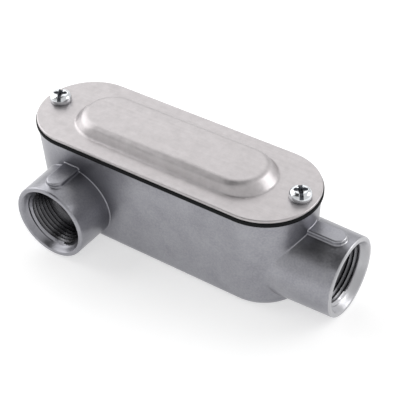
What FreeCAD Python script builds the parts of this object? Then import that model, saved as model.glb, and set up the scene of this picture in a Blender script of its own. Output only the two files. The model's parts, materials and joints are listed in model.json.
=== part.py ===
import FreeCAD, Part
import math
import os
import Sketcher

# Right-angle conduit body with a side outlet, 3/4 inch trade size.
#
# Frame: the origin is the centre of the flat back face and +Z points out of
# the cover.  +X points out of the end hub and -Y out of the side hub.  The
# long sides run along X.  Lengths are millimetres and angles are degrees.

PARTS_FOLDER = "parts"

SIZES = {
    # body casting: a tub with round ends that tapers from its rim to its back
    "body_height": 43.5,           # back face to rim
    "end_spacing": 83.0,           # between the centres of the two round ends
    "rim_radius": 21.2,            # outside radius of a round end at the rim
    "draft_angle": 2.8,            # taper of the outside and of the cavity
    "back_edge_radius": 4.5,
    "wall": 2.8,
    "back_wall": 2.8,
    "cavity_floor_radius": 3.0,
    # hubs: both have one axis height, one size and one thread
    "hub_to_back": 1.05,           # back face to the hub's lowest line at the mouth
    "hub_draft_angle": 1.2,        # the hub thickens towards the tub
    "hub_rim_radius": 0.8,         # rounding of the mouth's outer edge
    "hub_root_radius": 0.5,        # casting fillet where hub and rib leave the tub
    "side_hub_inset": 5.9,         # closed round end's centre to the side hub's axis
    # rib along the cover side of each hub
    "rib_width": 7.4,
    "rib_height": 1.8,             # above the hub
    "rib_setback": 3.2,            # nose to mouth
    "rib_edge_radius": 0.7,
    "rib_root_radius": 0.7,        # more than the casting fillet that runs round it
    "rib_root_depth": 1.2,         # how far the rib is sunk into the hub
    # hub bore: smooth lead-in, 3/4-14 NPT thread drill, rounded bushing throat
    "lead_in_radius": 13.2,        # at the first thread
    "lead_in_depth": 2.7,
    "mouth_flare": 1.4,            # the lead-in is this much wider at the mouth
    "mouth_rim": 1.8,              # flat metal round the mouth
    "mouth_edge_radius": 0.5,
    "thread_depth": 1.2,           # first thread's crest to the thread drill
    "thread_length": 13.0,
    "throat_step": 1.55,           # thread drill to the throat
    "throat_edge_radius": 1.0,
    "end_throat_length": 2.6,      # shoulder to the inside of the wall at the rim
    "side_throat_length": 2.2,
    # cover screws, No. 8-32, and the bosses that they enter
    "screw_inset": 6.2,            # end of the rim to the screw's axis
    "screw_radius": 1.83,          # pitch radius of the thread
    "screw_length": 12.7,          # under the head
    "screw_point": 0.5,            # chamfer at the tip
    "screw_fit": 0.02,             # radial clearance in the tapped hole
    "head_radius": 4.4,
    "head_height": 3.8,
    "head_crown_radius": 2.3,
    "recess_width": 1.7,
    "recess_length": 5.4,
    "recess_depth": 2.4,
    "boss_radius": 4.2,
    "boss_to_throat": 1.0,         # gap between the end boss and the throat
    "tap_runout": 2.3,             # tapped hole beyond the screw's tip
    "hub_end_screw_angle": 35.0,   # turn of each recess about the screw's axis
    "closed_end_screw_angle": 30.0,
    # gasket
    "gasket_thickness": 2.0,
    "gasket_overhang": 0.7,        # past the rim
    "gasket_lip": 1.9,             # past the inside of the wall
    "gasket_edge_radius": 0.5,
    "gasket_hole_clearance": 0.3,  # radial, round the screw
    # cover: stamped sheet with a raised panel
    "cover_thickness": 1.0,
    "cover_overhang": 0.3,         # past the rim
    "cover_edge_radius": 0.5,
    "cover_hole_clearance": 0.5,   # radial, round the screw
    "panel_inset": 10.1,           # round end's centre to that of the panel's foot
    "panel_margin": 7.4,           # rim to the panel's foot, along the sides
    "panel_height": 4.4,
    "panel_side_angle": 24.0,      # slope along the sides, from upright
    "panel_end_angle": 44.0,       # slope at the ends, from upright
    "panel_crest_radius": 4.0,     # outside rounding at the top of the slope
    "panel_foot_radius": 1.2,      # outside rounding at its foot
}

# Sizes that follow from the driving ones, each a formula in the sheet.
DERIVED = {
    "end_centre": "end_spacing / 2",
    "screw_offset": "end_centre + rim_radius - screw_inset",
    "mouth_radius": "lead_in_radius + mouth_flare",
    "hub_radius": "mouth_radius + mouth_rim",
    "hub_axis_height": "hub_to_back + hub_radius",
    "thread_drill_radius": "lead_in_radius - thread_depth",
    "throat_radius": "thread_drill_radius - throat_step",
    "thread_start": "lead_in_depth + thread_depth",
    "thread_end": "thread_start + thread_length",
    "end_hub_reach": "end_centre + rim_radius - wall + end_throat_length + thread_end",
    "side_hub_reach": "rim_radius - wall + side_throat_length + thread_end",
    "side_hub_offset": "end_centre - side_hub_inset",
    "rib_top": "hub_axis_height + hub_radius + rib_height",
    "rib_nose_depth": "rib_setback + rib_width / 2",
    "boss_tail": "screw_inset - wall / 2",
    "end_boss_depth": "body_height - hub_axis_height - throat_radius - boss_to_throat",
    "closed_boss_depth": "body_height - back_wall",
    "tap_depth": "screw_length - cover_thickness - gasket_thickness + tap_runout",
    "window_radius": "rim_radius - wall - gasket_lip",
    "window_centre": "screw_offset - boss_radius - window_radius",
    "panel_centre": "end_centre - panel_inset",
    "panel_radius": "rim_radius - panel_margin",
    "side_inset": "cover_thickness * (1 - sin(panel_side_angle)) / cos(panel_side_angle)",
    "end_inset": "cover_thickness * (1 - sin(panel_end_angle)) / cos(panel_end_angle)",
    "side_run": "panel_height * tan(panel_side_angle)",
    "end_run": "panel_height * tan(panel_end_angle)",
    "gasket_top": "body_height + gasket_thickness",
    "cover_top": "gasket_top + cover_thickness",
}

# Sketcher's own index numbers for a sketch's origin, horizontal axis and upright axis
ORIGIN, HORIZONTAL_INDEX, VERTICAL_INDEX = (-1, 1), -1, -2
Z_AXIS = FreeCAD.Vector(0, 0, 1)
TOLERANCE = 1e-4


# ------------------------------------------------------------ sizes

def make_sheet(doc):
    """Write every size into the sheet Sizes, one to a row, under its own alias."""
    sheet = doc.addObject("Spreadsheet::Sheet", "Sizes")
    cells = [(alias, str(value)) for alias, value in SIZES.items()]
    cells += [(alias, f"={formula}") for alias, formula in DERIVED.items()]
    for row, (alias, content) in enumerate(cells, start=1):
        sheet.set(f"A{row}", alias)
        sheet.set(f"B{row}", content)
        sheet.setAlias(f"B{row}", alias)
    doc.recompute()


def from_sheet(formula):
    """The formula with each size in it written as a reference to the sheet."""
    words = []
    for word in formula.replace("(", "( ").replace(")", " )").split():
        sign = "-" if word.startswith("-") and word[1:] in SIZES | DERIVED else ""
        name = word[len(sign):]
        words.append(f"{sign}Sizes.{name}" if name in SIZES | DERIVED else word)
    return " ".join(words)


def bind(item, prop, formula):
    """Tie a property of a document object to a formula of sizes."""
    item.setExpression(prop, from_sheet(formula))


def size(item, formula):
    """The present value of a formula of sizes."""
    return float(item.evalExpression(from_sheet(formula)))


# ------------------------------------------------------------ sketches

def new_sketch(body, name, role, x="0", y="0", z="0", turn=0):
    """A sketch on one of the body's own origin planes, moved by x, y, z and turned there."""
    sketch = body.newObject("Sketcher::SketchObject", name)
    plane = next(item for item in body.Origin.OriginFeatures if item.Role == role)
    sketch.AttachmentSupport = (plane, [""])
    sketch.MapMode = "FlatFace"
    rotation = FreeCAD.Rotation(Z_AXIS, turn)
    sketch.AttachmentOffset = FreeCAD.Placement(FreeCAD.Vector(), rotation)
    for axis, formula in (("x", x), ("y", y), ("z", z)):
        bind(sketch, f"AttachmentOffset.Base.{axis}", formula)
    return sketch


def constrain(sketch, kind, *where):
    sketch.addConstraint(Sketcher.Constraint(kind, *where))


def dimension(sketch, kind, where, formula):
    """A dimension of the sketch that follows a formula of sizes."""
    index = sketch.addConstraint(Sketcher.Constraint(kind, *where, size(sketch, formula)))
    bind(sketch, f"Constraints[{index}]", formula)


def add_line(sketch, start, end):
    ends = (FreeCAD.Vector(*start, 0), FreeCAD.Vector(*end, 0))
    return sketch.addGeometry(Part.LineSegment(*ends))


def add_arc(sketch, centre, radius, first, last):
    """An arc that turns anticlockwise from the angle first to the angle last."""
    circle = Part.Circle(FreeCAD.Vector(*centre, 0), Z_AXIS, radius)
    return sketch.addGeometry(Part.ArcOfCircle(circle, math.radians(first), math.radians(last)))


def add_circle(sketch, radius):
    """A circle round the sketch's origin."""
    shape = Part.Circle(FreeCAD.Vector(), Z_AXIS, size(sketch, radius))
    circle = sketch.addGeometry(shape)
    constrain(sketch, "Coincident", circle, 3, *ORIGIN)
    dimension(sketch, "Radius", (circle,), radius)


def pair_up(sketch, left, right, offset, radius):
    """Make two circles or arcs equal, with centres this far each side of the origin."""
    constrain(sketch, "Symmetric", left, 3, right, 3, *ORIGIN)
    constrain(sketch, "PointOnObject", right, 3, HORIZONTAL_INDEX)
    constrain(sketch, "Equal", left, right)
    dimension(sketch, "DistanceX", (*ORIGIN, right, 3), offset)
    dimension(sketch, "Radius", (right,), radius)


def add_circle_pair(sketch, offset, radius):
    """Two equal circles on the horizontal axis, one each side of the origin."""
    centre = FreeCAD.Vector(size(sketch, offset), 0, 0)
    shapes = [Part.Circle(place, Z_AXIS, size(sketch, radius)) for place in (-centre, centre)]
    left, right = sketch.addGeometry(shapes)
    pair_up(sketch, left, right, offset, radius)


def add_slot(sketch, offset, radius):
    """Two half circles joined by straight sides, centred on the sketch's origin."""
    a, r = size(sketch, offset), size(sketch, radius)
    left = add_arc(sketch, (-a, 0), r, 90, 270)
    right = add_arc(sketch, (a, 0), r, -90, 90)
    upper = add_line(sketch, (-a, r), (a, r))
    lower = add_line(sketch, (-a, -r), (a, -r))
    constrain(sketch, "Tangent", left, 1, upper, 1)
    constrain(sketch, "Tangent", upper, 2, right, 2)
    constrain(sketch, "Tangent", left, 2, lower, 1)
    constrain(sketch, "Tangent", lower, 2, right, 1)
    pair_up(sketch, left, right, offset, radius)


def add_tongue(sketch, radius, length):
    """A half circle round the origin with straight sides that run back to x = -length."""
    r, back = size(sketch, radius), -size(sketch, length)
    nose = add_arc(sketch, (0, 0), r, -90, 90)
    upper = add_line(sketch, (0, r), (back, r))
    tail = add_line(sketch, (back, r), (back, -r))
    lower = add_line(sketch, (back, -r), (0, -r))
    constrain(sketch, "Coincident", nose, 3, *ORIGIN)
    constrain(sketch, "Tangent", nose, 2, upper, 1)
    constrain(sketch, "Coincident", upper, 2, tail, 1)
    constrain(sketch, "Coincident", tail, 2, lower, 1)
    constrain(sketch, "Tangent", lower, 2, nose, 1)
    constrain(sketch, "Horizontal", upper)
    constrain(sketch, "Vertical", tail)
    dimension(sketch, "Radius", (nose,), radius)
    dimension(sketch, "DistanceX", (tail, 1, *ORIGIN), length)


def add_polygon(sketch, corners):
    """A closed outline through corners, each a pair of formulas for x and y."""
    points = [(size(sketch, x), size(sketch, y)) for x, y in corners]
    sides = [add_line(sketch, start, end) for start, end in zip(points, points[1:] + points[:1])]
    for side, following in zip(sides, sides[1:] + sides[:1]):
        constrain(sketch, "Coincident", side, 2, following, 1)
    for side, place in zip(sides, corners):
        for kind, formula, axis in zip(("DistanceX", "DistanceY"), place, (VERTICAL_INDEX, HORIZONTAL_INDEX)):
            if formula == "0":
                constrain(sketch, "PointOnObject", side, 1, axis)
            else:
                dimension(sketch, kind, (side, 1), formula)


# ------------------------------------------------------------ features

def new_body(doc, label, height="0", offset="0", turn="0"):
    """A body for one sub-part, set at its height, moved along X and turned about Z."""
    body = doc.addObject("PartDesign::Body", label)
    body.Label = label
    bind(body, "Placement.Base.x", offset)
    bind(body, "Placement.Base.z", height)
    bind(body, "Placement.Rotation.Angle", turn)
    return body


def extrude(body, kind, name, sketch, length, taper="0", back=False):
    """A Pad or Pocket; back sends it against its usual direction, taper widens it on the way."""
    feature = body.newObject(f"PartDesign::{kind}", name)
    feature.Profile = sketch
    feature.Reversed = back
    bind(feature, "Length", length)
    bind(feature, "TaperAngle", taper)
    body.Document.recompute()
    return feature


def loft(body, kind, name, slots):
    """A straight-sided loft through slots, each a height, an offset and a radius."""
    feature = body.newObject(f"PartDesign::{kind}", name)
    sketches = []
    for number, (height, offset, radius) in enumerate(slots, start=1):
        outline = new_sketch(body, f"{name}Slot{number}", "XY_Plane", z=height)
        add_slot(outline, offset, radius)
        sketches.append(outline)
    feature.Profile = sketches[0]
    feature.Sections = sketches[1:]
    feature.Ruled = True
    body.Document.recompute()
    return feature


def spin(body, kind, name, sketch, axis):
    """A full-turn Revolution or Groove about one axis of its sketch."""
    feature = body.newObject(f"PartDesign::{kind}", name)
    feature.Profile = sketch
    feature.ReferenceAxis = (sketch, [axis])
    feature.Angle = 360
    body.Document.recompute()
    return feature


def round_edges(body, name, edges, radius):
    """A Fillet of the named edges of the body's last feature."""
    last = body.Tip
    fillet = body.newObject("PartDesign::Fillet", name)
    fillet.Base = (last, edges)
    bind(fillet, "Radius", radius)
    body.Document.recompute()
    return fillet


def edges_where(feature, test):
    """Names of the feature's edges whose points, sampled between their ends, all pass the test."""
    edges = enumerate(feature.Shape.Edges, start=1)
    return [f"Edge{number}" for number, edge in edges
            if not edge.Degenerated and all(test(point) for point in edge.discretize(9)[1:-1])]


def level_edges(feature, height):
    """Names of the feature's edges that lie at this height."""
    return edges_where(feature, lambda point: abs(point.z - height) < TOLERANCE)


def root_edges(feature, own, other):
    """Names of the feature's edges where two of the shapes that it is made of meet."""
    def on_both(point):
        vertex = Part.Vertex(point)
        return all(shell.distToShape(vertex)[0] < TOLERANCE for shell in own.Shells + other.Shells)

    return edges_where(feature, on_both)


def edges_left_on(feature, shape):
    """Names of the edges that lie on a shape's faces, clear of its own edges."""
    def on_faces(point):
        vertex = Part.Vertex(point)
        clear = all(edge.distToShape(vertex)[0] > TOLERANCE for edge in shape.Edges)
        return clear and shape.Shells[0].distToShape(vertex)[0] < TOLERANCE

    return edges_where(feature, on_faces)


def ring_edges(feature, mouth, outward, depth, radius):
    """Names of the round edges of this radius, this deep below a mouth, about its axis."""
    def on_ring(point):
        below = (mouth - point).dot(outward)
        out = (point - mouth + outward * below).Length
        return abs(below - depth) < TOLERANCE and abs(out - radius) < TOLERANCE

    return edges_where(feature, on_ring)


# ------------------------------------------------------------ the body casting

def add_tub(body):
    """The outside of the tub: one slot outline, padded down from the rim with draft."""
    outline = new_sketch(body, "RimOutline", "XY_Plane", z="body_height")
    add_slot(outline, "end_centre", "rim_radius")
    tub = extrude(body, "Pad", "Tub", outline, "body_height", taper="-draft_angle", back=True)
    round_edges(body, "BackEdge", level_edges(tub, 0), "back_edge_radius")


def add_hub(body, name, role, length, **place):
    """A hub from its mouth back into the tub, a little thicker there."""
    outline = new_sketch(body, f"{name}Outline", role, y="hub_axis_height", **place)
    add_circle(outline, "hub_radius")
    return extrude(body, "Pad", name, outline, length, taper="hub_draft_angle", back=True)


def add_rib(body, name, hub, length, turn, **place):
    """A round-nosed rib on the cover side of a hub, from its nose back into the tub."""
    outline = new_sketch(body, f"{name}Outline", "XY_Plane", z="rib_top", turn=turn, **place)
    add_tongue(outline, "rib_width / 2", length)
    rib = extrude(body, "Pad", name, outline, "rib_height + rib_root_depth", back=True)
    at_tub = edges_left_on(rib, hub.BaseFeature.Shape)
    top = [edge for edge in level_edges(rib, size(body, "rib_top")) if edge not in at_tub]
    rounded = round_edges(body, f"{name}Edge", top, "rib_edge_radius")
    root = root_edges(rounded, rib.AddSubShape, hub.AddSubShape)
    round_edges(body, f"{name}Root", root, "rib_root_radius")


def round_hub(body, name, hub, mouth, outward):
    """The casting fillet where hub and rib leave the tub, and the mouth's outer edge."""
    root = edges_left_on(body.Tip, hub.BaseFeature.Shape)
    fillet = round_edges(body, f"{name}Root", root, "hub_root_radius")
    rim = ring_edges(fillet, mouth, outward, 0, size(body, "hub_radius"))
    round_edges(body, f"{name}Rim", rim, "hub_rim_radius")


def add_cavity(body):
    """The wiring chamber, open at the rim, with the same draft as the outside."""
    outline = new_sketch(body, "CavityOutline", "XY_Plane", z="body_height")
    add_slot(outline, "end_centre", "rim_radius - wall")
    cavity = extrude(body, "Pocket", "Cavity", outline, "body_height - back_wall", taper="-draft_angle")
    floor = level_edges(cavity, size(body, "back_wall"))
    round_edges(body, "CavityFloor", floor, "cavity_floor_radius")


def add_screw_boss(body, name, side, depth):
    """A boss down the inside of one round end, run into the wall and leaning with it."""
    outline = new_sketch(body, f"{name}Outline", "XY_Plane", x=f"{side} * screw_offset",
                         z="body_height", turn=90 + 90 * side)
    add_tongue(outline, "boss_radius", "boss_tail")
    boss = extrude(body, "Pad", name, outline, depth)
    boss.UseCustomVector = True
    boss.AlongSketchNormal = True
    boss.Direction = FreeCAD.Vector(0, 0, -1)
    bind(boss, "Direction.x", f"{-side} * tan(draft_angle)")
    body.Document.recompute()


def add_bore(body, name, role, inward, length, mouth, outward, **place):
    """A hub's bore, turned about its axis: lead-in, thread drill and bushing throat."""
    outline = new_sketch(body, f"{name}Profile", role, y="hub_axis_height", **place)
    stations = (
        ("0", "0"),
        ("0", "mouth_radius"),
        ("lead_in_depth", "lead_in_radius"),
        ("thread_start", "thread_drill_radius"),
        ("thread_end", "thread_drill_radius"),
        ("thread_end", "throat_radius"),
        (length, "throat_radius"),
        (length, "0"),
    )
    corners = [(depth if depth == "0" else f"{inward} * ({depth})", radius) for depth, radius in stations]
    add_polygon(outline, corners)
    bore = spin(body, "Groove", name, outline, "H_Axis")
    edge = ring_edges(bore, mouth, outward, 0, size(body, "mouth_radius"))
    lip = round_edges(body, f"{name}Mouth", edge, "mouth_edge_radius")
    shoulder = ring_edges(lip, mouth, outward, size(body, "thread_end"), size(body, "throat_radius"))
    round_edges(body, f"{name}Shoulder", shoulder, "throat_edge_radius")


def make_body_casting(doc):
    """The die-cast aluminium body: tub, hubs, ribs, chamber, screw bosses and bores."""
    body = new_body(doc, "body_casting")
    axis_height = size(body, "hub_axis_height")
    end_mouth = FreeCAD.Vector(size(body, "end_hub_reach"), 0, axis_height)
    end_way = FreeCAD.Vector(1, 0, 0)
    side_mouth = FreeCAD.Vector(-size(body, "side_hub_offset"), -size(body, "side_hub_reach"), axis_height)
    side_way = FreeCAD.Vector(0, -1, 0)

    add_tub(body)
    end_hub = add_hub(body, "EndHub", "YZ_Plane", "end_hub_reach - end_centre", z="end_hub_reach")
    add_rib(body, "EndRib", end_hub, "end_hub_reach - rib_nose_depth - end_centre", 0,
            x="end_hub_reach - rib_nose_depth")
    round_hub(body, "EndHub", end_hub, end_mouth, end_way)
    side_hub = add_hub(body, "SideHub", "XZ_Plane", "side_hub_reach",
                       x="-side_hub_offset", z="side_hub_reach")
    add_rib(body, "SideRib", side_hub, "side_hub_reach - rib_nose_depth", -90,
            x="-side_hub_offset", y="rib_nose_depth - side_hub_reach")
    round_hub(body, "SideHub", side_hub, side_mouth, side_way)
    add_cavity(body)
    add_screw_boss(body, "EndBoss", 1, "end_boss_depth")
    add_screw_boss(body, "ClosedEndBoss", -1, "closed_boss_depth")
    add_bore(body, "EndBore", "XZ_Plane", -1, "end_hub_reach - end_centre", end_mouth, end_way,
             x="end_hub_reach")
    add_bore(body, "SideBore", "YZ_Plane", 1, "side_hub_reach", side_mouth, side_way,
             x="-side_hub_reach", z="-side_hub_offset")

    holes = new_sketch(body, "ScrewHoles", "XY_Plane", z="body_height")
    add_circle_pair(holes, "screw_offset", "screw_radius + screw_fit")
    extrude(body, "Pocket", "TappedHoles", holes, "tap_depth")
    return body


# ------------------------------------------------------------ gasket, cover and screws

def make_gasket(doc):
    """The flat rubber frame between rim and cover, wider at its ends round the screws."""
    body = new_body(doc, "gasket", height="body_height")
    outline = new_sketch(body, "GasketOutline", "XY_Plane")
    add_slot(outline, "end_centre", "rim_radius + gasket_overhang")
    sheet = extrude(body, "Pad", "GasketSheet", outline, "gasket_thickness")
    edges = level_edges(sheet, 0) + level_edges(sheet, size(body, "gasket_thickness"))
    round_edges(body, "GasketEdges", edges, "gasket_edge_radius")
    openings = new_sketch(body, "GasketOpenings", "XY_Plane")
    add_slot(openings, "window_centre", "window_radius")
    add_circle_pair(openings, "screw_offset", "screw_radius + gasket_hole_clearance")
    extrude(body, "Pocket", "WindowAndHoles", openings, "gasket_thickness", back=True)
    return body


def make_cover(doc):
    """The stamped cover: a flat flange and a raised panel, of one sheet thickness."""
    body = new_body(doc, "cover", height="gasket_top")
    outline = new_sketch(body, "FlangeOutline", "XY_Plane")
    add_slot(outline, "end_centre", "rim_radius + cover_overhang")
    flange = extrude(body, "Pad", "Flange", outline, "cover_thickness")
    rim = level_edges(flange, size(body, "cover_thickness"))
    round_edges(body, "FlangeEdge", rim, "cover_edge_radius")

    panel = loft(body, "AdditiveLoft", "Panel", (
        ("cover_thickness", "panel_centre", "panel_radius"),
        ("cover_thickness + panel_height", "panel_centre + side_run - end_run", "panel_radius - side_run"),
    ))
    foot = root_edges(panel, panel.AddSubShape, flange.Shape)
    bend = round_edges(body, "PanelRoot", foot, "panel_foot_radius")
    crest = level_edges(bend, size(body, "cover_thickness + panel_height"))
    round_edges(body, "PanelCrest", crest, "panel_crest_radius")

    hollow = loft(body, "SubtractiveLoft", "Hollow", (
        ("0", "panel_centre + side_inset - end_inset", "panel_radius - side_inset"),
        ("panel_height", "panel_centre + side_inset - end_inset + side_run - end_run",
         "panel_radius - side_inset - side_run"),
    ))
    mouth = root_edges(hollow, hollow.AddSubShape, flange.Shape)
    bend = round_edges(body, "HollowMouth", mouth, "panel_foot_radius + cover_thickness")
    ceiling = level_edges(bend, size(body, "panel_height"))
    round_edges(body, "HollowCeiling", ceiling, "panel_crest_radius - cover_thickness")

    holes = new_sketch(body, "CoverScrewHoles", "XY_Plane")
    add_circle_pair(holes, "screw_offset", "screw_radius + cover_hole_clearance")
    extrude(body, "Pocket", "ClearanceHoles", holes, "cover_thickness", back=True)
    return body


def make_cover_screw(doc, label, side):
    """A round-head screw with a cross recess, seated on the cover at one end."""
    body = new_body(doc, label, height="cover_top", offset=f"{side} * screw_offset", turn=f"{label}_angle")
    profile = new_sketch(body, f"{label}_profile", "XZ_Plane")
    add_polygon(profile, (
        ("0", "-screw_length"),
        ("screw_radius - screw_point", "-screw_length"),
        ("screw_radius", "screw_point - screw_length"),
        ("screw_radius", "0"),
        ("head_radius", "0"),
        ("head_radius", "head_height"),
        ("0", "head_height"),
    ))
    turned = spin(body, "Revolution", f"{label}_turned", profile, "V_Axis")
    crown = level_edges(turned, size(body, "head_height"))
    round_edges(body, f"{label}_crown", crown, "head_crown_radius")

    outline = new_sketch(body, f"{label}_recess", "XY_Plane", z="head_height")
    add_slot(outline, "(recess_length - recess_width) / 2", "recess_width / 2")
    wing = extrude(body, "Pocket", f"{label}_wing", outline, "recess_depth")
    cross = body.newObject("PartDesign::PolarPattern", f"{label}_cross")
    cross.Originals = [wing]
    cross.Axis = (outline, ["N_Axis"])
    cross.Angle = 90
    cross.Occurrences = 2
    body.Tip = cross
    doc.recompute()
    return body


# ------------------------------------------------------------ checks and files

def check(doc, bodies):
    """Stop unless every object is sound, every cut removes metal and every body is one solid."""
    for item in doc.Objects:
        if {"Invalid", "Error"} & set(item.State):
            raise RuntimeError(f"{item.Name} is {item.State}")
        if item.isDerivedFrom("PartDesign::Pocket") or item.isDerivedFrom("PartDesign::Groove"):
            if item.Shape.Volume >= item.BaseFeature.Shape.Volume:
                raise RuntimeError(f"{item.Name} cuts nothing")
    for body in bodies:
        if body.Shape.isNull() or not body.Shape.isValid() or len(body.Shape.Solids) != 1:
            raise RuntimeError(f"{body.Label} is not one valid solid")


def main():
    doc = FreeCAD.newDocument("ConduitBody")
    make_sheet(doc)
    bodies = [
        make_body_casting(doc),
        make_gasket(doc),
        make_cover(doc),
        make_cover_screw(doc, "hub_end_screw", 1),
        make_cover_screw(doc, "closed_end_screw", -1),
    ]
    doc.recompute()
    check(doc, bodies)
    os.makedirs(PARTS_FOLDER, exist_ok=True)
    for body in bodies:
        body.Shape.exportStep(os.path.join(PARTS_FOLDER, f"{body.Label}.step"))
        print(f"{body.Label}: {body.Shape.Volume / 1000:.2f} cm3")


main()
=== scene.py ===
import json
import math

import bmesh
import bpy
from mathutils import Matrix, Vector


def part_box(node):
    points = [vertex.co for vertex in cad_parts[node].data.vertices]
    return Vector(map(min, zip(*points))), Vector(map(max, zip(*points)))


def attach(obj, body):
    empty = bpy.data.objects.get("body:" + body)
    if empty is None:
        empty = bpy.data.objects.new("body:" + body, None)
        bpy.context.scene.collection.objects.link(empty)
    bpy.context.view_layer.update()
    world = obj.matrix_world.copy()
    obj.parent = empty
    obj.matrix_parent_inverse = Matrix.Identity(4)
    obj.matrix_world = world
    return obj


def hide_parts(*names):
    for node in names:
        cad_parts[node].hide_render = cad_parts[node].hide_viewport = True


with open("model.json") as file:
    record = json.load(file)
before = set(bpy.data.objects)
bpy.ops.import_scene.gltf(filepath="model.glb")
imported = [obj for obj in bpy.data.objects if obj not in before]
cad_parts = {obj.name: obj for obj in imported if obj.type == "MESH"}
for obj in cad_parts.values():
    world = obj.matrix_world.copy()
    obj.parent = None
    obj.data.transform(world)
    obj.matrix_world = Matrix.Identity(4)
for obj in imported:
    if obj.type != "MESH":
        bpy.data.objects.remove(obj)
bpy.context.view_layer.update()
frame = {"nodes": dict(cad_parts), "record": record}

bl_info = {
    "name": "Conduit Body",
    "version": (1, 0, 0),
    "blender": (4, 5, 0),
    "location": "View3D > Sidebar > Conduit Body",
    "description": "Dresses a right-angle conduit body with threads, metal and rubber",
    "category": "Object",
}

NODES = frame["nodes"]
MM = 0.001

MERGE_DISTANCE = 1e-6             # corners nearer than this are one corner, in metres
SHARP_ANGLE = math.radians(32)    # edges that turn further than this stay sharp
CUT_OVERLAP = 0.4 * MM            # how far a thread cutter starts inside the bore
WIDEST_HALF_GROOVE = 0.49         # as a share of the pitch: turns don't meet
ALONG_THE_BOX = 0.5               # a bore whose axis leans more to X is the end hub's
FACED_LEAN = 0.3                  # a face that looks this much out of the hub is faced
RECESS_LEAN = 0.2 * MM            # how much a recess wall looks to the screw's axis
LEVEL = 0.95                      # a face that looks up this much is a recess floor
FLOOR_SHARE = 0.9                 # of the slot's depth: a recess floor is deeper

# material slots, after the first one
FACED, TAPPED = 1, 2              # of the casting
# painted shade inside a screw's recess and slot
RECESS_SHADE = 1                     # of a screw

# each lamp: name, place from the camera's target, point it is aimed at (None is the camera's
# target), side of the square, and the setting that holds its power; in metres
LAMPS = (
    ("key_lamp", (-0.85, -0.05, 0.50), None, 1.0, "key_power"),
    ("back_lamp", (0.50, 0.45, 0.35), (0.12, 0.05, 0.0), 0.4, "back_power"),
    ("soft_lamp", (-0.50, 0.71, 0.75), None, 1.0, "soft_power"),
)


# ------------------------------------------------------------ sizes and colours

class ThreadSizes(bpy.types.PropertyGroup):
    """The pipe thread of both hubs, cut straight although a real one tapers."""
    pitch: bpy.props.FloatProperty(
        name="Pitch", description="From one turn to the next, 14 turns to the inch",
        default=1.814 * MM, min=0.5 * MM, unit="LENGTH")
    depth: bpy.props.FloatProperty(
        name="Depth", description="From the drilled wall to the bottom of the groove",
        default=1.15 * MM, min=0.1 * MM, unit="LENGTH")
    root_flat: bpy.props.FloatProperty(
        name="Root flat", description="Width of the groove at its bottom",
        default=0.2 * MM, min=0.01 * MM, unit="LENGTH")
    flank_angle: bpy.props.FloatProperty(
        name="Flank angle", description="Of each side of the groove, from upright",
        default=math.radians(30), subtype="ANGLE")
    runout: bpy.props.FloatProperty(
        name="Run-out", description="Plain wall left before the shoulder",
        default=1.0 * MM, min=0.0, unit="LENGTH")
    past_thread: bpy.props.FloatProperty(
        name="Past the thread",
        description="How far tool marks reach beyond the thread, along and across",
        default=2.7 * MM, min=0.0, unit="LENGTH")
    steps: bpy.props.IntProperty(
        name="Steps", description="Facets in one turn", default=72, min=12)


class ScrewSizes(bpy.types.PropertyGroup):
    """The driver slot across each cover screw's cross recess."""
    slot_width: bpy.props.FloatProperty(
        name="Slot width", description="Across the slot",
        default=1.5 * MM, min=0.2 * MM, unit="LENGTH")
    slot_depth: bpy.props.FloatProperty(
        name="Slot depth", description="Below the top of the head",
        default=1.7 * MM, min=0.2 * MM, unit="LENGTH")
    # painted shade reaches this far down the head, inside the recess and slot
    recess_shade_depth: bpy.props.FloatProperty(
        name="Recess depth", description="How far down the head dull plating reaches",
        default=2.5 * MM, min=0.2 * MM, unit="LENGTH")
    hub_end_turn: bpy.props.FloatProperty(
        name="Hub end turn", description="Of the slot at the hub's end, from the box's length",
        default=math.radians(125), subtype="ANGLE")
    closed_end_turn: bpy.props.FloatProperty(
        name="Closed end turn", description="Of the slot at the closed end, from the box's length",
        default=math.radians(120), subtype="ANGLE")


class FinishColours(bpy.types.PropertyGroup):
    """Colours of the metals and the rubber, as sRGB hex values."""
    casting: bpy.props.StringProperty(
        name="Casting", description="Die-cast aluminium as it left the tumbler", default="A2A2A7")
    casting_dull: bpy.props.StringProperty(
        name="Casting, dull", description="Where the casting skin is duller", default="8E8E94")
    # painted shade: this colour darkens the casting in its inner corners
    casting_painted_shade: bpy.props.StringProperty(
        name="Casting, corners", description="Casting skin in the inner corners", default="6C6C72")
    # bare turned metal, and its lighter colour beside the side hub's cast mouth is a painted
    # highlight
    turned_with_highlight: bpy.props.StringProperty(
        name="Turned", description="Bare aluminium of the end hub's mouth", default="B4B4B7")
    sheet: bpy.props.StringProperty(
        name="Sheet", description="Stamped aluminium sheet", default="C1BDBE")
    sheet_streak: bpy.props.StringProperty(
        name="Sheet, streaks", description="Rolling streaks in the sheet", default="B1ADAE")
    tapped: bpy.props.StringProperty(
        name="Tapped", description="Aluminium of the threads, near the mouth", default="B0B0B3")
    # painted shade: this colour darkens the threads and throats down the bore, where shade falls
    tapped_painted_shade: bpy.props.StringProperty(
        name="Tapped, deep",
        description="Aluminium of the threads and throats, dark with cutting oil",
        default="47474A")
    rubber: bpy.props.StringProperty(
        name="Rubber", description="Gasket rubber", default="0E0F11")
    zinc: bpy.props.StringProperty(
        name="Zinc", description="Bright zinc plate on the screws", default="D9DCDF")
    # painted shade: the plating inside the recesses gets this dark colour
    zinc_painted_shade: bpy.props.StringProperty(
        name="Zinc, dull", description="Plating inside the screws' recesses", default="4A4D52")


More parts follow.
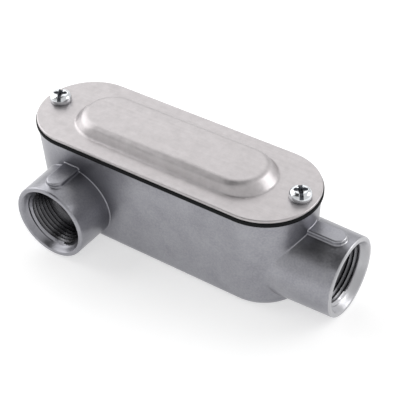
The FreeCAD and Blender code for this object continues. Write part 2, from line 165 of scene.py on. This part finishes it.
class StageSettings(bpy.types.PropertyGroup):
    """The camera, the floor and the lamps."""
    azimuth: bpy.props.FloatProperty(
        name="Azimuth", description="Of the camera, from the side hub's side towards the end hub",
        default=math.radians(35.17), subtype="ANGLE")
    elevation: bpy.props.FloatProperty(
        name="Elevation", description="Of the camera above the floor",
        default=math.radians(40.61), subtype="ANGLE")
    roll: bpy.props.FloatProperty(
        name="Roll", description="Of the camera about its own axis",
        default=math.radians(-1.6), subtype="ANGLE")
    distance: bpy.props.FloatProperty(
        name="Distance", description="From the camera to the point that it looks at",
        default=449.6 * MM, unit="LENGTH")
    target: bpy.props.FloatVectorProperty(
        name="Target", description="The point that the camera looks at",
        default=(12.52 * MM, -1.41 * MM, 25.75 * MM), subtype="TRANSLATION")
    lens: bpy.props.FloatProperty(
        name="Lens", description="Focal length on a 36 mm sensor, in millimetres", default=102.8)
    floor_radius: bpy.props.FloatProperty(
        name="Floor radius", description="Of the round floor", default=3.0, unit="LENGTH")
    floor_colour: bpy.props.StringProperty(
        name="Floor", description="Matt white paper, as an sRGB hex value", default="D8D8D8")
    floor_lift: bpy.props.FloatProperty(
        name="Floor lift", description="Glow that brings the floor up to white where it is seen",
        default=0.5)
    studio_light: bpy.props.FloatProperty(
        name="Studio light", description="Strength of the pale studio all around", default=0.8)
    flag_light: bpy.props.FloatProperty(
        name="Flag light", description="Strength left where the black flag hangs", default=0.05)
    flag_side: bpy.props.FloatVectorProperty(
        name="Flag side", description="Towards the middle of the black flag",
        default=(-0.4, -0.15, 0.9), subtype="DIRECTION")
    key_power: bpy.props.FloatProperty(
        name="Key power", description="Of the large lamp on the left", default=6.0, unit="POWER")
    back_power: bpy.props.FloatProperty(
        name="Back power", description="Of the lamp behind on the right", default=1.5, unit="POWER")
    soft_power: bpy.props.FloatProperty(
        name="Soft power", description="Of the broad soft lamp behind on the left",
        default=2.2, unit="POWER")


# ------------------------------------------------------------ materials

def linear(code):
    """A hex sRGB colour as linear RGBA."""
    parts = [int(code[start:start + 2], 16) / 255 for start in (0, 2, 4)]
    return (*(v / 12.92 if v <= 0.04045 else ((v + 0.055) / 1.055) ** 2.4 for v in parts), 1.0)


def new_tree(name):
    """An empty node tree in a new material, and the material."""
    material = bpy.data.materials.new(name)
    material.use_nodes = True
    material.node_tree.nodes.clear()
    return material, material.node_tree


def add_node(tree, kind, inputs, **settings):
    """A shader node with its settings, each named input set to a value or linked to a socket."""
    node = tree.nodes.new(f"ShaderNode{kind}")
    for name, value in settings.items():
        setattr(node, name, value)
    for name, value in inputs.items():
        if isinstance(value, bpy.types.NodeSocket):
            tree.links.new(value, node.inputs[name])
        else:
            node.inputs[name].default_value = value
    return node


def painted_shade_openness(tree, reach):
    """How open a place is by the object's own shape, from 0 in a corner to 1 on an outer face: the
    mask that paints shade into corners and down bores.
    """
    around = add_node(tree, "AmbientOcclusion", {"Distance": reach}, only_local=True, samples=8)
    share = add_node(tree, "MapRange", {
        "Value": around.outputs["AO"], "From Min": 0.4, "From Max": 0.9})
    return share.outputs["Result"]


def die_cast_aluminium(colours):
    """Tumbled die casting: satin grey, mottled and rippled, with painted shade darkening it in its
    corners.
    """
    material, tree = new_tree("die_cast_aluminium_tumbled")
    place = add_node(tree, "TexCoord", {}).outputs["Object"]
    ripple = add_node(tree, "TexNoise", {"Vector": place, "Scale": 1 / (3.5 * MM), "Detail": 2.0})
    # tumbling pits are about 0.2 mm across: drawn at 0.8 mm, the finest that shows
    pits = add_node(tree, "TexNoise", {"Vector": place, "Scale": 1 / (0.8 * MM), "Detail": 3.0})
    cloud = add_node(tree, "TexNoise", {"Vector": place, "Scale": 1 / (9 * MM), "Detail": 4.0})
    mottle = add_node(tree, "Math", {
        0: cloud.outputs["Fac"], 1: pits.outputs["Fac"]}, operation="ADD")
    reading = {"Value": mottle.outputs[0], "From Min": 0.7, "From Max": 1.3}
    shade = add_node(tree, "MapRange", reading)
    skin_colour = add_node(tree, "MixRGB", {
        "Fac": shade.outputs["Result"],
        "Color1": linear(colours.casting_dull), "Color2": linear(colours.casting)})
    # painted shade: the corner colour darkens the casting where its own shape closes in
    colour = add_node(tree, "MixRGB", {
        "Fac": painted_shade_openness(tree, 15 * MM), "Color1": linear(colours.casting_painted_shade),
        "Color2": skin_colour.outputs["Color"]})
    gloss = add_node(tree, "MapRange", {**reading, "To Min": 0.29, "To Max": 0.39})
    skin = add_node(tree, "Bump", {
        "Height": ripple.outputs["Fac"], "Strength": 0.25, "Distance": 0.1 * MM})
    texture = add_node(tree, "Bump", {
        "Height": pits.outputs["Fac"], "Normal": skin.outputs["Normal"],
        "Strength": 0.35, "Distance": 0.05 * MM})
    shader = add_node(tree, "BsdfPrincipled", {
        "Base Color": colour.outputs["Color"], "Metallic": 1.0,
        "Roughness": gloss.outputs["Result"], "Normal": texture.outputs["Normal"]})
    add_node(tree, "OutputMaterial", {"Surface": shader.outputs["BSDF"]})
    return material


def cut_aluminium(name, bright, shaded, dullest):
    """Bare metal from a cutting tool: fine marks vary the gloss, and painted shade darkens it down
    a bore.
    """
    material, tree = new_tree(name)
    place = add_node(tree, "TexCoord", {}).outputs["Object"]
    # tool marks are under 0.2 mm apart: drawn at 0.8 mm, the finest that shows
    marks = add_node(tree, "TexNoise", {"Vector": place, "Scale": 1 / (0.8 * MM), "Detail": 2.0})
    # painted shade: the bright colour darkens to the shaded one where the bore closes in
    colour = add_node(tree, "MixRGB", {
        "Fac": painted_shade_openness(tree, 25 * MM), "Color1": linear(shaded), "Color2": linear(bright)})
    gloss = add_node(tree, "MapRange", {
        "Value": marks.outputs["Fac"], "From Min": 0.3, "From Max": 0.7,
        "To Min": dullest - 0.12, "To Max": dullest})
    feel = add_node(tree, "Bump", {
        "Height": marks.outputs["Fac"], "Strength": 0.1, "Distance": 0.01 * MM})
    shader = add_node(tree, "BsdfPrincipled", {
        "Base Color": colour.outputs["Color"], "Metallic": 1.0,
        "Roughness": gloss.outputs["Result"], "Normal": feel.outputs["Normal"]})
    add_node(tree, "OutputMaterial", {"Surface": shader.outputs["BSDF"]})
    return material


def stamped_aluminium(colours):
    """Mill-finish sheet: pale satin, with faint rolling streaks and cloudy handling marks."""
    material, tree = new_tree("stamped_aluminium_mill_finish")
    place = add_node(tree, "TexCoord", {}).outputs["Object"]
    # rolling lines are under 0.1 mm apart: drawn at 0.9 mm, the finest that shows
    along = add_node(tree, "Mapping", {
        "Vector": place, "Scale": (1 / (40 * MM), 1 / (0.9 * MM), 1 / (0.9 * MM))})
    streaks = add_node(tree, "TexNoise", {
        "Vector": along.outputs["Vector"], "Scale": 1.0, "Detail": 3.0})
    marks = add_node(tree, "TexNoise", {
        "Vector": place, "Scale": 1 / (3.5 * MM), "Detail": 5.0, "Roughness": 0.65})
    finish = add_node(tree, "Math", {
        0: streaks.outputs["Fac"], 1: 0.3, 2: marks.outputs["Fac"]}, operation="MULTIPLY_ADD")
    reading = {"Value": finish.outputs[0], "From Min": 0.45, "From Max": 0.85}
    shade = add_node(tree, "MapRange", reading)
    colour = add_node(tree, "MixRGB", {
        "Fac": shade.outputs["Result"],
        "Color1": linear(colours.sheet_streak), "Color2": linear(colours.sheet)})
    gloss = add_node(tree, "MapRange", {**reading, "To Min": 0.38, "To Max": 0.44})
    lines = add_node(tree, "Bump", {
        "Height": finish.outputs[0], "Strength": 0.15, "Distance": 0.03 * MM})
    shader = add_node(tree, "BsdfPrincipled", {
        "Base Color": colour.outputs["Color"], "Metallic": 1.0,
        "Roughness": gloss.outputs["Result"], "Normal": lines.outputs["Normal"]})
    add_node(tree, "OutputMaterial", {"Surface": shader.outputs["BSDF"]})
    return material


def gasket_rubber(colours):
    """Die-cut rubber sheet: matt black with a fine grain and a trace of dust."""
    material, tree = new_tree("rubber_sheet_die_cut")
    place = add_node(tree, "TexCoord", {}).outputs["Object"]
    grain = add_node(tree, "TexNoise", {"Vector": place, "Scale": 1 / (0.4 * MM), "Detail": 3.0})
    dust = add_node(tree, "TexNoise", {"Vector": place, "Scale": 1 / (6 * MM), "Detail": 4.0})
    colour = add_node(tree, "HueSaturation", {
        "Color": linear(colours.rubber),
        "Value": add_node(tree, "MapRange", {
            "Value": dust.outputs["Fac"], "To Min": 0.8, "To Max": 1.4}).outputs["Result"]})
    feel = add_node(tree, "Bump", {
        "Height": grain.outputs["Fac"], "Strength": 0.3, "Distance": 0.03 * MM})
    shader = add_node(tree, "BsdfPrincipled", {
        "Base Color": colour.outputs["Color"], "Roughness": 0.75, "Specular IOR Level": 0.15,
        "Normal": feel.outputs["Normal"]})
    add_node(tree, "OutputMaterial", {"Surface": shader.outputs["BSDF"]})
    return material


def zinc_plate(name, code, dullest):
    """Zinc plate on steel: bright, with faint clouds that the plating bath leaves in its gloss."""
    material, tree = new_tree(name)
    place = add_node(tree, "TexCoord", {}).outputs["Object"]
    cloud = add_node(tree, "TexNoise", {"Vector": place, "Scale": 1 / (1.5 * MM), "Detail": 2.0})
    gloss = add_node(tree, "MapRange", {
        "Value": cloud.outputs["Fac"], "From Min": 0.3, "From Max": 0.7,
        "To Min": dullest - 0.1, "To Max": dullest})
    shader = add_node(tree, "BsdfPrincipled", {
        "Base Color": linear(code), "Metallic": 1.0, "Roughness": gloss.outputs["Result"]})
    add_node(tree, "OutputMaterial", {"Surface": shader.outputs["BSDF"]})
    return material


def set_finish(node, material):
    """Give a CAD node another material."""
    for slot in NODES[node].material_slots:
        slot.material = material


# ------------------------------------------------------------ shared steps

def new_object(name, mesh):
    """An object at the origin that holds a finished bmesh."""
    data = bpy.data.meshes.new(name)
    mesh.to_mesh(data)
    mesh.free()
    thing = bpy.data.objects.new(name, data)
    bpy.context.collection.objects.link(thing)
    return thing


def copy_of(node, name):
    """A closed copy of a CAD node's mesh, as a new object."""
    mesh = bmesh.new()
    mesh.from_mesh(NODES[node].data)
    bmesh.ops.remove_doubles(mesh, verts=mesh.verts, dist=MERGE_DISTANCE)
    return new_object(name, mesh)


def cut_away(context, thing, cutters):
    """Cut the cutters out of a thing for good, drop its materials and smooth its round faces."""
    for cutter in cutters:
        cut = thing.modifiers.new(cutter.name, "BOOLEAN")
        cut.operation = "DIFFERENCE"
        cut.solver = "MANIFOLD"
        cut.object = cutter
    evaluated = thing.evaluated_get(context.evaluated_depsgraph_get())
    finished = bpy.data.meshes.new_from_object(evaluated)
    thing.modifiers.clear()
    thing.data = finished
    for cutter in cutters:
        bpy.data.objects.remove(cutter)
    finished.materials.clear()
    finished.shade_smooth()
    finished.set_sharp_from_angle(angle=SHARP_ANGLE)


# ------------------------------------------------------------ the threaded casting

def thread_cutter(bore, sizes):
    """A helical ridge along one bore, as an object: the metal that the tap takes out."""
    axis, centre = Vector(bore["axis"]), Vector(bore["position"])
    radius, length = bore["r"], bore["length"]
    half_root = sizes.root_flat / 2
    half_mouth = half_root + (sizes.depth + CUT_OVERLAP) * math.tan(sizes.flank_angle)
    half_mouth = min(half_mouth, sizes.pitch * WIDEST_HALF_GROOVE)
    inner, outer = radius - CUT_OVERLAP, radius + sizes.depth
    turns = int((length + sizes.pitch - sizes.runout) / sizes.pitch)
    start = -length / 2 + sizes.runout + half_mouth
    profile = ((inner, -half_mouth), (outer, -half_root),
               (outer, half_root), (inner, half_mouth))
    mesh = bmesh.new()
    corners = [mesh.verts.new((out, 0, start + along)) for out, along in profile]
    face = mesh.faces.new(corners)
    bmesh.ops.spin(
        mesh, geom=[face, *face.edges, *face.verts], cent=(0, 0, 0), axis=(0, 0, 1),
        dvec=(0, 0, sizes.pitch / sizes.steps), angle=2 * math.pi * turns,
        steps=turns * sizes.steps, use_merge=False, use_duplicate=False)
    bmesh.ops.recalc_face_normals(mesh, faces=mesh.faces)
    turn = axis.to_track_quat("Z", "Y").to_matrix().to_4x4()
    bmesh.ops.transform(mesh, matrix=Matrix.Translation(centre) @ turn, verts=mesh.verts)
    return new_object("thread_cutter", mesh)


def cut_faces(mesh, bores, past_thread):
    """Mark the faces that tools cut: a faced mouth and its lead-in, and threads and throats."""
    for bore in bores:
        axis, centre = Vector(bore["axis"]), Vector(bore["position"])
        outward = axis if axis.dot(centre) > 0 else -axis
        end = bore["length"] / 2
        for face in mesh.polygons:
            offset = face.center - centre
            along = offset.dot(outward)
            across = (offset - outward * along).length
            if across < bore["r"] + past_thread and abs(along) < end + past_thread:
                face.material_index = TAPPED if along < end else FACED * bore["faced"]
            elif bore["faced"] and along > end and face.normal.dot(outward) > FACED_LEAN:
                face.material_index = FACED


def hub_bores():
    """Each threaded bore from the record's mounts, and whether the mouth around it is faced."""
    mounts = frame["record"]["mounts"]
    return [{
        "axis": mount["axis"], "position": mount["pos_m"],
        "r": mount["dims"]["r_mm"] * MM, "length": mount["dims"]["length_mm"] * MM,
        # only the end hub's mouth is faced, so only it gets the lighter turned colour, partly a
        # painted highlight
        "faced": abs(mount["axis"][0]) > ALONG_THE_BOX,
    } for mount in mounts if mount["kind"] == "threaded_hole"]


class CONDUIT_OT_threaded_casting(bpy.types.Operator):
    """Stand a threaded copy of the casting in for the plain-bored one"""
    bl_idname = "conduit.threaded_casting"
    bl_label = "Threaded casting"

    def execute(self, context):
        sizes, colours = context.scene.conduit_thread, context.scene.conduit_colours
        casting = copy_of("body_casting", "threaded_casting")
        cut_away(context, casting, [thread_cutter(bore, sizes) for bore in hub_bores()])
        for material in (
                die_cast_aluminium(colours),
                # the end hub's mouth: bare turned metal, its lighter colour partly a painted
                # highlight
                cut_aluminium("turned_aluminium_mouth", colours.turned_with_highlight, colours.turned_with_highlight, 0.42),
                cut_aluminium("tapped_aluminium_oiled", colours.tapped, colours.tapped_painted_shade, 0.36)):
            casting.data.materials.append(material)
        cut_faces(casting.data, hub_bores(), sizes.past_thread)
        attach(casting, "root")
        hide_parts("body_casting")
        return {"FINISHED"}


class CONDUIT_OT_cover(bpy.types.Operator):
    """Give the stamped cover its mill finish"""
    bl_idname = "conduit.cover"
    bl_label = "Cover"

    def execute(self, context):
        set_finish("cover", stamped_aluminium(context.scene.conduit_colours))
        return {"FINISHED"}


class CONDUIT_OT_gasket(bpy.types.Operator):
    """Give the gasket its rubber"""
    bl_idname = "conduit.gasket"
    bl_label = "Gasket"

    def execute(self, context):
        set_finish("gasket", gasket_rubber(context.scene.conduit_colours))
        return {"FINISHED"}


def driver_slot(node, sizes, turn):
    """The bar of metal that the driver slot takes out of a screw's head, as an object."""
    low, high = (Vector(corner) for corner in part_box(node))
    middle = (low + high) / 2
    mesh = bmesh.new()
    bmesh.ops.create_cube(mesh, size=1.0)
    longer_than_head = high.x - low.x + 2 * MM
    bar = (longer_than_head, sizes.slot_width, 2 * sizes.slot_depth)
    bmesh.ops.scale(mesh, vec=bar, verts=mesh.verts)
    place = Matrix.Translation((middle.x, middle.y, high.z)) @ Matrix.Rotation(turn, 4, "Z")
    bmesh.ops.transform(mesh, matrix=place, verts=mesh.verts)
    return new_object("driver_slot", mesh)


def shade_recess(mesh, node, sizes):
    """Mark the faces inside a screw's recess and slot, where painted shade darkens the plating."""
    low, high = (Vector(corner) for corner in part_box(node))
    middle = (low + high) / 2
    for face in mesh.polygons:
        depth = high.z - face.center.z
        inward = face.normal.xy.dot(face.center.xy - middle.xy) < -RECESS_LEAN
        sunk = face.normal.z > LEVEL and depth > FLOOR_SHARE * sizes.slot_depth
        if depth < sizes.recess_shade_depth and (inward or sunk):
            face.material_index = RECESS_SHADE


class CONDUIT_OT_screws(bpy.types.Operator):
    """Stand slotted, zinc-plated copies in for both cover screws"""
    bl_idname = "conduit.screws"
    bl_label = "Screws"

    def execute(self, context):
        sizes, colours = context.scene.conduit_screws, context.scene.conduit_colours
        bright = zinc_plate("zinc_plated_steel", colours.zinc, 0.22)
        # painted shade inside the recesses and slots
        dull = zinc_plate("zinc_plated_steel_in_recess", colours.zinc_painted_shade, 0.4)
        turns = {"hub_end_screw": sizes.hub_end_turn, "closed_end_screw": sizes.closed_end_turn}
        for node, turn in turns.items():
            screw = copy_of(node, f"slotted_{node}")
            cut_away(context, screw, [driver_slot(node, sizes, turn)])
            screw.data.materials.append(bright)
            screw.data.materials.append(dull)
            shade_recess(screw.data, node, sizes)
            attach(screw, "root")
            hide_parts(node)
        return {"FINISHED"}


# ------------------------------------------------------------ stage

def white_paper(stage):
    """Matt paper: a bright even white that still takes the object's shadow."""
    material, tree = new_tree("white_paper_matt")
    place = add_node(tree, "TexCoord", {}).outputs["Object"]
    fibre = add_node(tree, "TexNoise", {"Vector": place, "Scale": 1 / (3 * MM), "Detail": 2.0})
    tooth = add_node(tree, "Bump", {"Height": fibre.outputs["Fac"], "Strength": 0.02})
    paper = add_node(tree, "BsdfDiffuse", {
        "Color": linear(stage.floor_colour), "Normal": tooth.outputs["Normal"]})
    ray = add_node(tree, "LightPath", {})
    seen = add_node(tree, "Math", {
        0: ray.outputs["Is Camera Ray"], 1: ray.outputs["Is Glossy Ray"]}, operation="MAXIMUM")
    either = add_node(tree, "Math", {
        0: seen.outputs[0], 1: ray.outputs["Is Transmission Ray"]}, operation="MAXIMUM")
    lift = add_node(tree, "Math", {
        0: either.outputs[0], 1: stage.floor_lift}, operation="MULTIPLY")
    glow = add_node(tree, "Emission", {"Strength": lift.outputs[0]})
    both = add_node(tree, "AddShader", {0: paper.outputs[0], 1: glow.outputs[0]})
    add_node(tree, "OutputMaterial", {"Surface": both.outputs[0]})
    return material


def studio_world(stage):
    """A pale studio with one soft dim patch, as a black flag hung over metal gives it contrast."""
    world = bpy.data.worlds.new("pale_studio")
    world.use_nodes = True
    tree = world.node_tree
    tree.nodes.clear()
    direction = add_node(tree, "TexCoord", {}).outputs["Generated"]
    toward = add_node(tree, "VectorMath", {
        0: direction, 1: Vector(stage.flag_side).normalized()}, operation="DOT_PRODUCT")
    strength = add_node(tree, "MapRange", {
        "Value": toward.outputs["Value"], "From Min": 0.7, "From Max": 0.92,
        "To Min": stage.studio_light, "To Max": stage.flag_light}, interpolation_type="SMOOTHSTEP")
    background = add_node(tree, "Background", {
        "Color": (1.0, 1.0, 1.0, 1.0), "Strength": strength.outputs["Result"]})
    add_node(tree, "OutputWorld", {"Surface": background.outputs["Background"]})
    return world


def aim(thing, place, target, roll=0.0):
    """Put a camera or lamp at a place, pointed at a target."""
    turn = (Vector(target) - Vector(place)).to_track_quat("-Z", "Y").to_matrix().to_4x4()
    thing.matrix_world = Matrix.Translation(place) @ turn @ Matrix.Rotation(roll, 4, "Z")


def add_camera(context, stage, target):
    """The scene's camera, looking at the target."""
    flat = stage.distance * math.cos(stage.elevation)
    offset = Vector((flat * math.sin(stage.azimuth), -flat * math.cos(stage.azimuth),
                     stage.distance * math.sin(stage.elevation)))
    lens = bpy.data.cameras.new("camera")
    lens.lens = stage.lens
    camera = bpy.data.objects.new("camera", lens)
    context.collection.objects.link(camera)
    aim(camera, target + offset, target, stage.roll)
    context.scene.camera = camera


def add_lamp(name, place, target, side, power):
    """A square area lamp, pointed at a target."""
    lamp = bpy.data.lights.new(name, "AREA")
    lamp.shape = "SQUARE"
    lamp.size = side
    lamp.energy = power
    thing = bpy.data.objects.new(name, lamp)
    bpy.context.collection.objects.link(thing)
    aim(thing, place, target)


class CONDUIT_OT_stage(bpy.types.Operator):
    """Set up the floor, the lamps, the world and the camera"""
    bl_idname = "conduit.stage"
    bl_label = "Stage"

    def execute(self, context):
        stage = context.scene.conduit_stage
        mesh = bmesh.new()
        bmesh.ops.create_circle(mesh, cap_ends=True, segments=128, radius=stage.floor_radius)
        floor = new_object("floor", mesh)
        floor.data.materials.append(white_paper(stage))

        target = Vector(stage.target)
        for name, offset, point, side, power in LAMPS:
            place = target + Vector(offset)
            add_lamp(name, place, Vector(point or target), side, getattr(stage, power))
        context.scene.world = studio_world(stage)
        add_camera(context, stage, target)
        context.scene.view_settings.view_transform = "Standard"
        return {"FINISHED"}


# ------------------------------------------------------------ panel and registration

STEPS = (
    CONDUIT_OT_threaded_casting,
    CONDUIT_OT_cover,
    CONDUIT_OT_gasket,
    CONDUIT_OT_screws,
    CONDUIT_OT_stage,
)


class CONDUIT_PT_sidebar(bpy.types.Panel):
    """The sizes and colours of the conduit body, and the steps that dress it"""
    bl_label = "Conduit Body"
    bl_idname = "CONDUIT_PT_sidebar"
    bl_space_type = "VIEW_3D"
    bl_region_type = "UI"
    bl_category = "Conduit Body"

    def draw(self, context):
        for name, kind in GROUPS.items():
            box = self.layout.box()
            for value in kind.__annotations__:
                box.prop(getattr(context.scene, name), value)
        for step in STEPS:
            self.layout.operator(step.bl_idname)


GROUPS = {
    "conduit_thread": ThreadSizes,
    "conduit_screws": ScrewSizes,
    "conduit_colours": FinishColours,
    "conduit_stage": StageSettings,
}


def register():
    """Add the classes, and the settings that the scene holds."""
    for kind in (*GROUPS.values(), *STEPS, CONDUIT_PT_sidebar):
        bpy.utils.register_class(kind)
    for name, group in GROUPS.items():
        setattr(bpy.types.Scene, name, bpy.props.PointerProperty(type=group))


def unregister():
    """Take the settings and the classes away again."""
    for name in GROUPS:
        delattr(bpy.types.Scene, name)
    for kind in (CONDUIT_PT_sidebar, *reversed(STEPS), *reversed(GROUPS.values())):
        bpy.utils.unregister_class(kind)


def main():
    """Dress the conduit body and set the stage."""
    register()
    bpy.ops.conduit.threaded_casting()
    bpy.ops.conduit.cover()
    bpy.ops.conduit.gasket()
    bpy.ops.conduit.screws()
    bpy.ops.conduit.stage()


if __name__ == "__main__":
    main()
